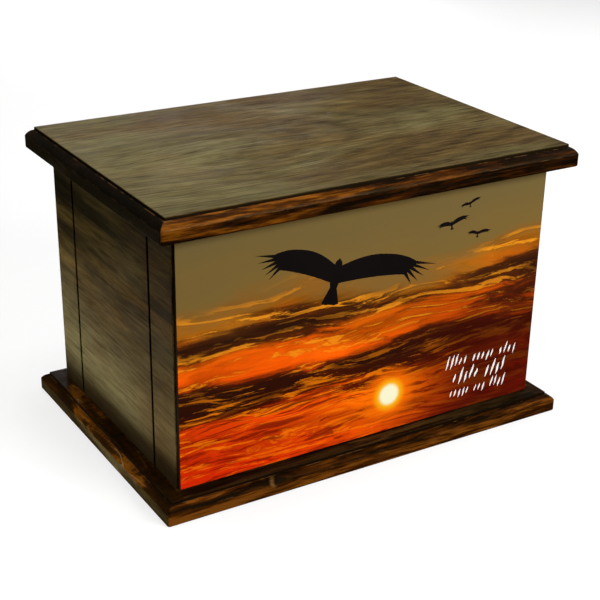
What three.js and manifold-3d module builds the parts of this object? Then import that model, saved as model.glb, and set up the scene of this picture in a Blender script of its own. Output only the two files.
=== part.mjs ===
// Wooden cremation urn box: a moulded base board, four mitred walls, a printed picture panel over the whole
// front, and a moulded lid board that rests on the walls and lifts off. Millimetres, +Z up. The picture
// faces -Y, and the origin is the middle of the underside.

import * as THREE from 'three';
import { mergeVertices } from 'three/addons/utils/BufferGeometryUtils.js';
import Module from 'manifold-3d';

const wasm = await Module();
wasm.setup();

// Box
const BODY_WIDTH = 248;
const BODY_DEPTH = 163.5; // from the picture's face to the back wall's face
const WALL_HEIGHT = 151;
const WALL_THICKNESS = 12;

// Picture panel
const PANEL_THICKNESS = 2.5;
const PANEL_SIDE_INSET = 1; // the front board shows this much past the panel's upright edges
const PANEL_END_GAP = 0.25; // to the base below and to the lid above
const PANEL_EASE = 0.25; // broken arrises

// Base and lid boards
const BASE_THICKNESS = 12.5;
const BASE_OVERHANG = 13.25;
const LID_THICKNESS = 13.25;
const LID_OVERHANG = 12.25;

// Moulded edge that the base and the lid share
const FASCIA_HEIGHT = 7.5; // upright band above the underside
const STEP_HEIGHT = 1.75; // square step below the top face
const STEP_INSET = 4.75; // from the fascia back to the top face's edge
const ROUND_BULGE = 0.7; // swell of the round past the straight line between its ends
const UNDERSIDE_EASE = 1; // rounding of the lower arris
const CORNER_RADIUS = 1.5; // rounding of the upright corners, seen from above
const CURVE_STEPS = 6;

// Upright grooves in the side boards
const GROOVE_WIDTH = 2.25;
const GROOVE_DEPTH = 2.5;
const GROOVE_FROM_EDGE = 28.5; // from the board's upright edge to the groove's middle

// Raised field under the lid that keeps it from sliding off
const FIELD_HEIGHT = 5;
const FIELD_CLEARANCE = 0.5;

// Looks
const BASE_LOOK = { color: 0x5b3a1c, roughness: 0.4 };
const WALL_LOOK = { color: 0x584c2e, roughness: 0.45 };
const LID_LOOK = { color: 0x6b5f41, roughness: 0.38 };
const PRINT_LOOK = { color: 0x96552a, roughness: 0.3 };

// Working values
const CUT_MARGIN = 5; // how far a cutting solid runs past what it cuts
const QUARTER_TURN = Math.PI / 2;

// Places that follow from the sizes
const woodDepth = BODY_DEPTH - PANEL_THICKNESS;
const pictureFaceY = -BODY_DEPTH / 2;
const woodFrontY = pictureFaceY + PANEL_THICKNESS;
const woodBackY = BODY_DEPTH / 2;
const woodMiddleY = (woodFrontY + woodBackY) / 2;
const lidUndersideZ = BASE_THICKNESS + WALL_HEIGHT;

/** Turns a closed three.js geometry into a solid that can be joined and cut. */
function toSolid(geometry) {
  const bare = geometry.clone();
  bare.deleteAttribute('normal');
  bare.deleteAttribute('uv');
  const merged = mergeVertices(bare);
  const mesh = new wasm.Mesh({
    numProp: 3,
    vertProperties: new Float32Array(merged.attributes.position.array),
    triVerts: new Uint32Array(merged.index.array),
  });
  return new wasm.Manifold(mesh);
}

/** Turns a solid back into a three.js geometry. */
function toGeometry(solid) {
  const mesh = solid.getMesh();
  const geometry = new THREE.BufferGeometry();
  geometry.setAttribute('position', new THREE.BufferAttribute(mesh.vertProperties, 3));
  geometry.setIndex(new THREE.BufferAttribute(mesh.triVerts, 1));
  geometry.computeVertexNormals();
  return geometry;
}

/** Upright section through a moulded board: eased underside, fascia, round, square step and flat top. */
function mouldedSection(span, thickness) {
  const half = span / 2;
  const stepFoot = thickness - STEP_HEIGHT;
  const fasciaTop = new THREE.Vector2(half, FASCIA_HEIGHT);
  const roundTop = new THREE.Vector2(half - STEP_INSET, stepFoot);
  const chord = roundTop.clone().sub(fasciaTop);
  const outward = new THREE.Vector2(chord.y, -chord.x).normalize();
  const control = fasciaTop.clone().lerp(roundTop, 0.5).addScaledVector(outward, 2 * ROUND_BULGE);

  const section = new THREE.Shape();
  section.moveTo(-half + UNDERSIDE_EASE, 0);
  section.lineTo(half - UNDERSIDE_EASE, 0);
  section.quadraticCurveTo(half, 0, half, UNDERSIDE_EASE);
  section.lineTo(fasciaTop.x, fasciaTop.y);
  section.quadraticCurveTo(control.x, control.y, roundTop.x, roundTop.y);
  section.lineTo(roundTop.x, thickness);
  section.lineTo(-roundTop.x, thickness);
  section.lineTo(-roundTop.x, roundTop.y);
  section.quadraticCurveTo(-control.x, control.y, -fasciaTop.x, fasciaTop.y);
  section.lineTo(-half, UNDERSIDE_EASE);
  section.quadraticCurveTo(-half, 0, -half + UNDERSIDE_EASE, 0);
  return section;
}

/** Plan of a board with rounded corners, centred on the origin. */
function roundedPlan(width, depth, radius) {
  const x = width / 2;
  const y = depth / 2;
  const plan = new THREE.Shape();
  plan.moveTo(-x + radius, -y);
  plan.lineTo(x - radius, -y);
  plan.absarc(x - radius, -y + radius, radius, -QUARTER_TURN, 0);
  plan.lineTo(x, y - radius);
  plan.absarc(x - radius, y - radius, radius, 0, QUARTER_TURN);
  plan.lineTo(-x + radius, y);
  plan.absarc(-x + radius, y - radius, radius, QUARTER_TURN, 2 * QUARTER_TURN);
  plan.lineTo(-x, -y + radius);
  plan.absarc(-x + radius, -y + radius, radius, 2 * QUARTER_TURN, 3 * QUARTER_TURN);
  return plan;
}

/** A shape pushed straight through to a length, with its curves in even steps. */
function prism(shape, length) {
  return new THREE.ExtrudeGeometry(shape, { depth: length, bevelEnabled: false, curveSegments: CURVE_STEPS });
}

/**
 * A board with the same moulding on its four edges. The section along the width and the section along the
 * depth are each pushed through the whole board, and what they share is the board with mitred corners.
 */
function mouldedBoard(width, depth, thickness) {
  const lengthAlongY = depth + 2 * CUT_MARGIN;
  const acrossWidth = prism(mouldedSection(width, thickness), lengthAlongY);
  acrossWidth.rotateX(QUARTER_TURN).translate(0, lengthAlongY / 2, 0);

  const lengthAlongX = width + 2 * CUT_MARGIN;
  const acrossDepth = prism(mouldedSection(depth, thickness), lengthAlongX);
  acrossDepth.rotateX(QUARTER_TURN).translate(0, lengthAlongX / 2, 0).rotateZ(QUARTER_TURN);

  const plan = prism(roundedPlan(width, depth, CORNER_RADIUS), thickness + 2 * CUT_MARGIN);
  plan.translate(0, 0, -CUT_MARGIN);

  return toSolid(acrossWidth).intersect(toSolid(acrossDepth)).intersect(toSolid(plan));
}

/** Base board: the moulded board alone. */
function baseGeometry() {
  const width = BODY_WIDTH + 2 * BASE_OVERHANG;
  const depth = BODY_DEPTH + 2 * BASE_OVERHANG;
  return toGeometry(mouldedBoard(width, depth, BASE_THICKNESS));
}

/** Lid board: the moulded board with a raised field below it that drops in between the walls. */
function lidGeometry() {
  const width = BODY_WIDTH + 2 * LID_OVERHANG;
  const depth = BODY_DEPTH + 2 * LID_OVERHANG;
  const board = mouldedBoard(width, depth, LID_THICKNESS);

  const wallAndGap = WALL_THICKNESS + FIELD_CLEARANCE;
  const overlap = LID_THICKNESS / 2;
  const field = new THREE.BoxGeometry(
    BODY_WIDTH - 2 * wallAndGap,
    woodDepth - 2 * wallAndGap,
    FIELD_HEIGHT + overlap,
  );
  field.translate(0, woodMiddleY, (overlap - FIELD_HEIGHT) / 2);
  return toGeometry(board.add(toSolid(field)));
}

/**
 * One upright wall with mitred ends, its outer face on the local X axis and facing -Y.
 * Each groove is cut straight in from the outer face, over the wall's whole height.
 */
function wallGeometry(length, grooveMiddles) {
  const plan = new THREE.Shape();
  plan.moveTo(-length / 2, 0);
  for (const middle of grooveMiddles) {
    plan.lineTo(middle - GROOVE_WIDTH / 2, 0);
    plan.lineTo(middle - GROOVE_WIDTH / 2, GROOVE_DEPTH);
    plan.lineTo(middle + GROOVE_WIDTH / 2, GROOVE_DEPTH);
    plan.lineTo(middle + GROOVE_WIDTH / 2, 0);
  }
  plan.lineTo(length / 2, 0);
  plan.lineTo(length / 2 - WALL_THICKNESS, WALL_THICKNESS);
  plan.lineTo(-length / 2 + WALL_THICKNESS, WALL_THICKNESS);
  return prism(plan, WALL_HEIGHT);
}

/** Thin printed plate with broken arrises, its back on the XZ plane and its face towards -Y. */
function panelGeometry() {
  const halfWidth = BODY_WIDTH / 2 - PANEL_SIDE_INSET - PANEL_EASE;
  const halfHeight = WALL_HEIGHT / 2 - PANEL_END_GAP - PANEL_EASE;
  const face = new THREE.Shape();
  face.moveTo(-halfWidth, -halfHeight);
  face.lineTo(halfWidth, -halfHeight);
  face.lineTo(halfWidth, halfHeight);
  face.lineTo(-halfWidth, halfHeight);
  const plate = new THREE.ExtrudeGeometry(face, {
    depth: PANEL_THICKNESS - 2 * PANEL_EASE,
    bevelThickness: PANEL_EASE,
    bevelSize: PANEL_EASE,
    bevelSegments: 1,
  });
  return plate.translate(0, 0, PANEL_EASE).rotateX(QUARTER_TURN);
}

/** Names a piece, gives it a material of its own, puts it in its place and adds it to the urn. */
function addPiece(name, geometry, look, place, turn = 0) {
  const mesh = new THREE.Mesh(geometry, new THREE.MeshStandardMaterial({ ...look, metalness: 0 }));
  mesh.name = name;
  mesh.position.set(...place);
  mesh.rotation.z = turn;
  urn.add(mesh);
}

const urn = new THREE.Group();
addPiece('base_board', baseGeometry(), BASE_LOOK, [0, 0, 0]);

const grooveReach = woodDepth / 2 - GROOVE_FROM_EDGE;
const sideX = BODY_WIDTH / 2;
const plainWall = { length: BODY_WIDTH, grooves: [] };
const sideWall = { length: woodDepth, grooves: [-grooveReach, grooveReach] };
const walls = [
  { name: 'front_board', ...plainWall, x: 0, y: woodFrontY, turn: 0 },
  { name: 'right_side_board', ...sideWall, x: sideX, y: woodMiddleY, turn: QUARTER_TURN },
  { name: 'back_board', ...plainWall, x: 0, y: woodBackY, turn: 2 * QUARTER_TURN },
  { name: 'left_side_board', ...sideWall, x: -sideX, y: woodMiddleY, turn: -QUARTER_TURN },
];
for (const wall of walls) {
  const place = [wall.x, wall.y, BASE_THICKNESS];
  addPiece(wall.name, wallGeometry(wall.length, wall.grooves), WALL_LOOK, place, wall.turn);
}

addPiece('picture_panel', panelGeometry(), PRINT_LOOK, [0, woodFrontY, BASE_THICKNESS + WALL_HEIGHT / 2]);
addPiece('lid_board', lidGeometry(), LID_LOOK, [0, 0, lidUndersideZ]);

export default urn;
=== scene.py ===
"""Looks of a wooden cremation urn box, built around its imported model.

Moulded base and lid boards, four mitred walls with upright grooves in the sides, and a printed picture panel
with a generic sunset. Metres, +Z up, the picture faces -Y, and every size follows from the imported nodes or
from the named values of the class that uses it.
"""

import logging
import math
import random
from collections.abc import Iterator, Sequence
from dataclasses import dataclass
from enum import Enum
from typing import NamedTuple

import bmesh
import bpy
from mathutils import Matrix, Vector
from mathutils.geometry import delaunay_2d_cdt


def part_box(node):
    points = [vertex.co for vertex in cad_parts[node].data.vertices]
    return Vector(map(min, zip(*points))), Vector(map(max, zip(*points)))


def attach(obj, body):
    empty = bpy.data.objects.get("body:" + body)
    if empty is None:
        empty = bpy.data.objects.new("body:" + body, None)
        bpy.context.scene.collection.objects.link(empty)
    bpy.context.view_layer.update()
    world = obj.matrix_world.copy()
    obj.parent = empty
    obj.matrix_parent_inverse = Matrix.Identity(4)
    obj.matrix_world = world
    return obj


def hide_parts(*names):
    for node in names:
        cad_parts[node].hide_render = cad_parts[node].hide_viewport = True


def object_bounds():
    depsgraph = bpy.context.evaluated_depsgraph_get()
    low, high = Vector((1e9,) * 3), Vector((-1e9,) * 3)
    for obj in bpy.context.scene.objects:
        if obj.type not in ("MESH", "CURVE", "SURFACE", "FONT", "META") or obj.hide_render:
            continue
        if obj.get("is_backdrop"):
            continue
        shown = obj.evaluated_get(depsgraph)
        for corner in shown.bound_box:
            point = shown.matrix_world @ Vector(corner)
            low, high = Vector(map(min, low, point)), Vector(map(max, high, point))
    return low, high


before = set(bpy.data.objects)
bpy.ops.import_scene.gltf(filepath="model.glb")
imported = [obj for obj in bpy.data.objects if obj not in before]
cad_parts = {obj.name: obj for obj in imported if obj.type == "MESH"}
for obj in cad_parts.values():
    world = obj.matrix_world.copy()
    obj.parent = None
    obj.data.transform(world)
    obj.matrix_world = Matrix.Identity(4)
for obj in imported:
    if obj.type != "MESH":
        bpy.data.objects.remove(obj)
cad_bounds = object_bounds()

LOG = logging.getLogger("urn")
BODY = "root"
MM = 0.001
QUARTER_TURN = math.pi / 2
SHARP_ANGLE = math.radians(40)

Colour = tuple[float, float, float, float]
Triple = tuple[float, float, float]
Stops = tuple[tuple[float, Colour], ...]
Outline = list[Vector]
Socket = bpy.types.NodeSocket
Outputs = bpy.types.NodeOutputs
Value = float | int | str | tuple | Socket | bpy.types.Material
Inputs = dict[str | int, Value]


def rgb(red: float, green: float, blue: float) -> Colour:
    """Returns an opaque colour in scene-linear values."""
    return (red, green, blue, 1.0)


def grey(level: float) -> Colour:
    """Returns an opaque grey."""
    return rgb(level, level, level)


class Slot(Enum):
    """Material slots of the part."""

    MOULDED = "moulded_wood"
    WALL = "wall_wood"
    PRINT = "picture_print"


class Mark(Enum):
    """Point attributes that tell a wood finish which part of a board it is on, and where shade is painted.
    """

    MOULDED = "moulded"
    FASCIA = "fascia"
    # Share of painted shade: the step's riser and inner corner, and the walls' feet.
    CREASE = "crease"
    # Share of arris wear, which also paints glints.
    ARRIS = "arris"
    # Share of a groove's depth; the groove's walls get painted shade.
    KERF = "kerf"


class Ink(Enum):
    """Face attributes of the picture panel."""

    SILHOUETTE = "ink_silhouette"
    WHITE = "ink_white"
    EDGE = "bare_edge"


class Grain(Enum):
    """Turn about Z from the X axis to the direction of a board's grain."""

    ALONG_X = 0.0
    ALONG_Y = QUARTER_TURN


class SocketKind(Enum):
    """Kinds of sockets on a node group."""

    FLOAT = "NodeSocketFloat"
    INT = "NodeSocketInt"
    VECTOR = "NodeSocketVector"
    GEOMETRY = "NodeSocketGeometry"
    MATERIAL = "NodeSocketMaterial"

    def each(self, *names: str) -> list[tuple[str, "SocketKind"]]:
        """Returns the names, each with this kind."""
        return [(name, self) for name in names]


class Pattern(NamedTuple):
    """A noise: cells per unit along X, Y and Z, its layers, and the stretch of its values that is used."""

    cells: Triple
    detail: float = 2.0
    roughness: float = 0.5
    distortion: float = 0.0
    low: float = 0.3
    high: float = 0.7


class Fade(NamedTuple):
    """A soft step: where it starts, where it is full, and how strong it is then."""

    start: float
    full: float
    strength: float = 1.0


class Tree:
    """A node tree with short calls for the nodes that this script uses."""

    def __init__(self, tree: bpy.types.NodeTree) -> None:
        """Keeps the tree that the calls add to."""
        self.tree = tree

    def feed(self, node: bpy.types.Node, inputs: Inputs) -> None:
        """Links a node's inputs to output sockets, or sets their plain values.

        Args:
            node: The node.
            inputs: Values or sockets, by the input's name or number.
        """
        for key, value in inputs.items():
            if isinstance(value, bpy.types.NodeSocket):
                self.tree.links.new(value, node.inputs[key])
            else:
                node.inputs[key].default_value = value

    def add(self, kind: str, inputs: Inputs | None = None, **settings: object) -> bpy.types.Node:
        """Adds one node.

        Args:
            kind: The node's type name.
            inputs: Values or sockets for its inputs, by name or number.
            settings: Values for the node's own properties.

        Returns:
            The new node.
        """
        node = self.tree.nodes.new(kind)
        for name, value in settings.items():
            setattr(node, name, value)
        self.feed(node, inputs or {})
        return node

    def math(self, operation: str, *values: Value) -> Socket:
        """Returns the result of a Math node on up to three values."""
        return self.add("ShaderNodeMath", dict(enumerate(values)), operation=operation).outputs[0]

    def whole(self, operation: str, *values: Value) -> Socket:
        """Returns the result of an Integer Math node on two values."""
        return self.add("FunctionNodeIntegerMath", dict(enumerate(values)), operation=operation).outputs[0]

    def vector(self, operation: str, *values: Value) -> Socket:
        """Returns the vector that a Vector Math node makes of two vectors."""
        return self.add("ShaderNodeVectorMath", dict(enumerate(values)), operation=operation).outputs[0]

    def measure(self, operation: str, *values: Value) -> Socket:
        """Returns the number that a Vector Math node makes of its vectors."""
        node = self.add("ShaderNodeVectorMath", dict(enumerate(values)), operation=operation)
        return node.outputs["Value"]

    def product(self, result: Value, *others: Value) -> Value:
        """Multiplies several values.

        Args:
            result: The first value.
            others: The values to multiply it by.

        Returns:
            The product, or the first value where there is no other.
        """
        for other in others:
            result = self.math("MULTIPLY", result, other)
        return result

    def combine(self, x: Value, y: Value, z: Value) -> Socket:
        """Returns a vector of three values."""
        return self.add("ShaderNodeCombineXYZ", {0: x, 1: y, 2: z}).outputs[0]

    def split(self, vector: Value) -> tuple[Socket, Socket, Socket]:
        """Returns the three parts of a vector."""
        parts = self.add("ShaderNodeSeparateXYZ", {0: vector}).outputs
        return parts[0], parts[1], parts[2]

    def remap(self, value: Value, low: Value, high: Value, to_low: Value, to_high: Value) -> Socket:
        """Moves a value smoothly from one range to another and holds it at the ends.

        Args:
            value: The value to move.
            low: Where the old range starts.
            high: Where the old range ends.
            to_low: The result at the old range's start.
            to_high: The result at the old range's end.

        Returns:
            The output socket.
        """
        inputs = {0: value, 1: low, 2: high, 3: to_low, 4: to_high}
        return self.add("ShaderNodeMapRange", inputs, interpolation_type="SMOOTHSTEP").outputs[0]

    def fade(self, value: Value, fade: Fade) -> Socket:
        """Returns how far a value has come on a soft step."""
        return self.remap(value, fade.start, fade.full, 0.0, fade.strength)

    def mix(self, share: Value, first: Value, second: Value, blend: str = "MIX") -> Socket:
        """Returns a mix of two colours, with the share of the second."""
        inputs = {0: share, 6: first, 7: second}
        return self.add("ShaderNodeMix", inputs, data_type="RGBA", blend_type=blend).outputs[2]

    def lay(self, colour: Value, tone: Value, *shares: Value) -> Socket:
        """Returns a colour with a tone laid over it, as strongly as the product of the shares."""
        return self.mix(self.product(*shares), colour, tone)

    def ramp(self, share: Value, stops: Stops) -> Socket:
        """Reads a colour from a ramp.

        Args:
            share: Where on the ramp to read, from 0 to 1.
            stops: Places and colours along it, in order.

        Returns:
            The output socket of the colour.
        """
        node = self.add("ShaderNodeValToRGB", {0: share})
        elements = node.color_ramp.elements
        for number in (-1, 0):
            elements[number].position, elements[number].color = stops[number]
        for place, colour in stops[1:-1]:
            elements.new(place).color = colour
        return node.outputs[0]

    def noise(self, vector: Value, pattern: Pattern) -> Outputs:
        """Adds a noise texture whose cells are stretched along the axes.

        Args:
            vector: The place to read it at.
            pattern: Its cells and layers.

        Returns:
            The outputs: number 0 is the value and number 1 the colour.
        """
        inputs = {"Vector": self.vector("MULTIPLY", vector, pattern.cells), "Scale": 1.0}
        inputs |= {name.title(): getattr(pattern, name) for name in ("detail", "roughness", "distortion")}
        return self.add("ShaderNodeTexNoise", inputs).outputs

    def pattern(self, vector: Value, pattern: Pattern, to_low: Value = 0.0, to_high: Value = 1.0) -> Socket:
        """Returns a noise whose used stretch of values is spread from one limit to the other."""
        return self.remap(self.noise(vector, pattern)[0], pattern.low, pattern.high, to_low, to_high)

    def drift(self, vector: Value, pattern: Pattern) -> Socket:
        """Returns a noise of vectors that lie about zero."""
        return self.vector("SUBTRACT", self.noise(vector, pattern)[1], (0.5, 0.5, 0.5))

    def use(self, group: bpy.types.NodeTree, inputs: Inputs) -> Outputs:
        """Places a shader node group and returns its outputs."""
        return self.add("ShaderNodeGroup", inputs, node_tree=group).outputs

    def mark(self, mark: Mark | Ink) -> Socket:
        """Returns the value of one of the piece's own attributes."""
        return self.add("ShaderNodeAttribute", attribute_name=mark.value).outputs["Fac"]


def new_group(name: str, tree_kind: str, inputs: Sequence[tuple[str, SocketKind]],
              outputs: Sequence[tuple[str, SocketKind]]) -> tuple[Tree, Outputs, bpy.types.Node]:
    """Makes an empty node group with named sockets.

    Args:
        name: The group's name.
        tree_kind: The type name of the tree.
        inputs: Names and kinds of its inputs.
        outputs: Names and kinds of its outputs.

    Returns:
        The tree, what it is given, and the node that takes what it puts out.
    """
    group = bpy.data.node_groups.new(name, tree_kind)
    for way, sockets in (("INPUT", inputs), ("OUTPUT", outputs)):
        for socket_name, kind in sockets:
            group.interface.new_socket(socket_name, in_out=way, socket_type=kind.value)
    tree = Tree(group)
    return tree, tree.add("NodeGroupInput").outputs, tree.add("NodeGroupOutput")


def new_material(name: str) -> tuple[bpy.types.Material, Tree, bpy.types.Node]:
    """Makes a material with a Principled shader.

    Args:
        name: The material's name.

    Returns:
        The material, its tree and its shader node.
    """
    material = bpy.data.materials.new(name)
    material.use_nodes = True
    return material, Tree(material.node_tree), material.node_tree.nodes["Principled BSDF"]


def new_object(name: str, data: bpy.types.ID) -> bpy.types.Object:
    """Links a new object to the scene.

    Args:
        name: The object's name.
        data: Its mesh, light or camera.

    Returns:
        The object.
    """
    made = bpy.data.objects.new(name, data)
    bpy.context.scene.collection.objects.link(made)
    return made


def new_solid(name: str, shape: bmesh.types.BMesh, material: bpy.types.Material) -> bpy.types.Object:
    """Turns a shape into a piece with a finish.

    Args:
        name: The piece's name.
        shape: Its shape, which is freed.
        material: Its finish.

    Returns:
        The piece.
    """
    mesh = bpy.data.meshes.new(name)
    shape.to_mesh(mesh)
    shape.free()
    mesh.materials.append(material)
    return new_object(name, mesh)


def skin(shape: bmesh.types.BMesh, rings: Sequence[list[bmesh.types.BMVert]]) -> list[bmesh.types.BMFace]:
    """Joins neighbouring rings of points with four-sided faces.

    Args:
        shape: The shape that the points are in.
        rings: Rings with the same number of points.

    Returns:
        The new faces.
    """
    faces = []
    for low, high in zip(rings, rings[1:]):
        for number in range(len(low)):
            following = (number + 1) % len(low)
            faces.append(shape.faces.new((low[number], low[following], high[following], high[number])))
    return faces


def hand_over(piece: bpy.types.Object, node: str, slot: Slot) -> None:
    """Parents a piece to the body that it rides on, hides the CAD node that it replaces, and reports it.

    Args:
        piece: The finished piece.
        node: The CAD node that it replaces.
        slot: Its material slot; not used.
    """
    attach(piece, BODY)
    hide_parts(node)
    LOG.info("%s in place of %s, %d faces", piece.name, node, len(piece.data.polygons))


class Figure(NamedTuple):
    """How much each part of the grain lightens or darkens the stain."""

    start: float
    bands: float = 0.0
    streaks: float = 0.0
    fibres: float = 0.0
    rings: float = 0.0
    patches: float = 0.0

    def share(self, tree: Tree, wood: Outputs) -> Socket:
        """Weighs the parts of the grain.

        Args:
            tree: The material's tree.
            wood: The parts of the grain.

        Returns:
            Where on the stain's ramp the grain lies.
        """
        total = self.start
        for part, weight in zip(self._fields[1:], self[1:]):
            if weight:
                total = tree.math("MULTIPLY_ADD", wood[part], weight, total)
        return total


CALM = Figure(0.1, bands=0.26, streaks=0.12, fibres=0.5, rings=-0.16)
STRAIGHT = Figure(0.0, bands=0.45, streaks=0.24, fibres=0.52, rings=-0.1)
WILD = Figure(-0.28, streaks=0.3, fibres=0.5, patches=0.76)


class SharedEffects:
    """Shader node groups that several finishes use, each built once."""

    # Grain
    SWIRL = Pattern((3.5, 9.0, 9.0), detail=1.0)
    GRAIN = {
        "bands": Pattern((2.4, 30.0, 30.0), detail=3.0, roughness=0.55),
        "streaks": Pattern((9.0, 190.0, 190.0), detail=3.0, roughness=0.6, low=0.25, high=0.75),
        "fibres": Pattern((45.0, 520.0, 520.0), detail=3.0, roughness=0.7),
        "patches": Pattern((13.0, 110.0, 150.0), detail=8.0, roughness=0.68, distortion=0.3,
                           low=0.36, high=0.62),
        "Pores": Pattern((48.0, 800.0, 800.0), detail=1.0, low=0.58, high=0.72),
    }
    RING_LEAN = 0.4
    RING_SHARPNESS = 2.0

    # Knot
    EYE_SHARPNESS = 4.0
    CRESCENT_OUTSIDE = Fade(0.25, 0.5)
    CRESCENT_INSIDE = Fade(0.8, 0.6)
    CRESCENT_LEFT = Fade(-0.2, -0.8)

    # Wear of the arrises, which also stands in for painted glints
    RUBBED = Pattern((95.0, 95.0, 95.0), detail=4.0, roughness=0.65)
    RUBBED_FROM = 0.85
    RUBBED_SOFTNESS = 0.12

    # Lacquer
    SMUDGE = Pattern((26.0, 40.0, 40.0), detail=4.0, roughness=0.6)
    RIPPLE = Pattern((55.0, 240.0, 240.0))
    RIPPLE_HEIGHT = 0.5
    FIBRE_HEIGHT = 0.35
    PORE_HEIGHT = -0.6
    PORE_ROUGHNESS = 0.12

    def __init__(self) -> None:
        """Builds the groups."""
        self.grain = self._walnut_grain()
        self.knot = self._knot_swirl()
        self.wear = self._arris_wear()
        self.lacquer = self._satin_lacquer()

    def _walnut_grain(self) -> bpy.types.NodeTree:
        """Builds the grain of walnut along X.

        Returns:
            A group with broad bands, streaks, fine fibres, growth rings, dark patches and pores.
        """
        inputs = SocketKind.VECTOR.each("Vector", "Pith") + SocketKind.FLOAT.each("Wave", "Ring Width")
        outputs = SocketKind.FLOAT.each("rings", *self.GRAIN)
        tree, given, made = new_group("walnut_grain", "ShaderNodeTree", inputs, outputs)
        sway = tree.combine(0.0, given["Wave"], given["Wave"])
        swirl = tree.vector("MULTIPLY", tree.drift(given["Vector"], self.SWIRL), sway)
        waved = tree.vector("ADD", given["Vector"], swirl)
        along, across, up = tree.split(tree.vector("SUBTRACT", waved, given["Pith"]))
        lean = tree.math("MULTIPLY_ADD", along, self.RING_LEAN, up)
        from_pith = tree.measure("LENGTH", tree.combine(0.0, across, lean))
        turns = tree.math("PINGPONG", tree.math("DIVIDE", from_pith, given["Ring Width"]), 1.0)
        tree.feed(made, {"rings": tree.math("POWER", turns, self.RING_SHARPNESS)})
        tree.feed(made, {name: tree.pattern(waved, pattern) for name, pattern in self.GRAIN.items()})
        return tree.tree

    def _knot_swirl(self) -> bpy.types.NodeTree:
        """Builds the bend of the grain round a knot.

        Returns:
            A group that moves the place at which the grain is read, and puts out masks of the knot's dark
            eye and of the pale crescent on its left.
        """
        inputs = SocketKind.VECTOR.each("Vector", "Knot", "Reach") + SocketKind.FLOAT.each("Bend")
        outputs = SocketKind.VECTOR.each("Vector") + SocketKind.FLOAT.each("Eye", "Crescent")
        tree, given, made = new_group("knot_swirl", "ShaderNodeTree", inputs, outputs)
        away = tree.vector("SUBTRACT", given["Vector"], given["Knot"])
        reached = tree.vector("DIVIDE", away, given["Reach"])
        squared = tree.math("POWER", tree.measure("LENGTH", reached), 2.0)
        mask = tree.math("EXPONENT", tree.math("MULTIPLY", squared, -1.0))
        pull = tree.product(mask, given["Bend"], -1.0)
        bent = tree.vector("MULTIPLY", away, tree.combine(0.0, pull, pull))
        left_of, _, _ = tree.split(reached)
        ring = tree.product(tree.fade(mask, self.CRESCENT_OUTSIDE), tree.fade(mask, self.CRESCENT_INSIDE))
        tree.feed(made, {
            "Vector": tree.vector("ADD", given["Vector"], bent),
            "Eye": tree.math("POWER", mask, self.EYE_SHARPNESS),
            "Crescent": tree.product(ring, tree.fade(left_of, self.CRESCENT_LEFT)),
        })
        return tree.tree

    def _arris_wear(self) -> bpy.types.NodeTree:
        """Builds the wear of an arris, which also paints glints on it.

        Returns:
            A group that breaks the mark of an arris up into short stretches, rubbed lighter and painted as
            glints.
        """
        inputs = SocketKind.VECTOR.each("Vector") + SocketKind.FLOAT.each("Arris", "Amount")
        tree, given, made = new_group("arris_wear_and_glints", "ShaderNodeTree", inputs, SocketKind.FLOAT.each("Wear And Glints"))
        start = tree.math("SUBTRACT", self.RUBBED_FROM, given["Amount"])
        full = tree.math("ADD", start, self.RUBBED_SOFTNESS)
        rubbed_and_glinting = tree.remap(tree.noise(given["Vector"], self.RUBBED)[0], start, full, 0.0, 1.0)
        tree.feed(made, {"Wear And Glints": tree.product(rubbed_and_glinting, given["Arris"])})
        return tree.tree

    def _satin_lacquer(self) -> bpy.types.NodeTree:
        """Builds a brushed lacquer film.

        Returns:
            A group with the film's roughness and its height over the pores.
        """
        values = SocketKind.FLOAT.each("Pores", "Fibres", "Smooth", "Rough")
        inputs = SocketKind.VECTOR.each("Vector") + values
        outputs = SocketKind.FLOAT.each("Roughness", "Height")
        tree, given, made = new_group("satin_lacquer", "ShaderNodeTree", inputs, outputs)
        film = tree.pattern(given["Vector"], self.SMUDGE, given["Smooth"], given["Rough"])
        ripple = tree.product(tree.noise(given["Vector"], self.RIPPLE)[0], self.RIPPLE_HEIGHT)
        wavy = tree.math("MULTIPLY_ADD", given["Fibres"], self.FIBRE_HEIGHT, ripple)
        tree.feed(made, {
            "Roughness": tree.math("MULTIPLY_ADD", given["Pores"], self.PORE_ROUGHNESS, film),
            "Height": tree.math("MULTIPLY_ADD", given["Pores"], self.PORE_HEIGHT, wavy),
        })
        return tree.tree


@dataclass(frozen=True)
class Stain:
    """Colours of one stained wood, from its darkest streak to its lightest."""

    dark: Colour
    body: Colour
    light: Colour

    PLACES = (0.08, 0.5, 0.92)

    def stops(self) -> Stops:
        """Returns the colours as places on a ramp."""
        return tuple(zip(self.PLACES, (self.dark, self.body, self.light)))


@dataclass(frozen=True)
class Knot:
    """A place where the grain bends round a knot, along the grain, across it and up."""

    place: Triple
    reach: Triple
    bend: float
    shade: float


# Stains, by where they are used
OLIVE_FACE = Stain(rgb(0.036, 0.026, 0.006), rgb(0.1, 0.08, 0.027), rgb(0.165, 0.14, 0.06))
BROWN_FACE = Stain(rgb(0.02, 0.01, 0.002), rgb(0.066, 0.038, 0.009), rgb(0.145, 0.092, 0.025))
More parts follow.
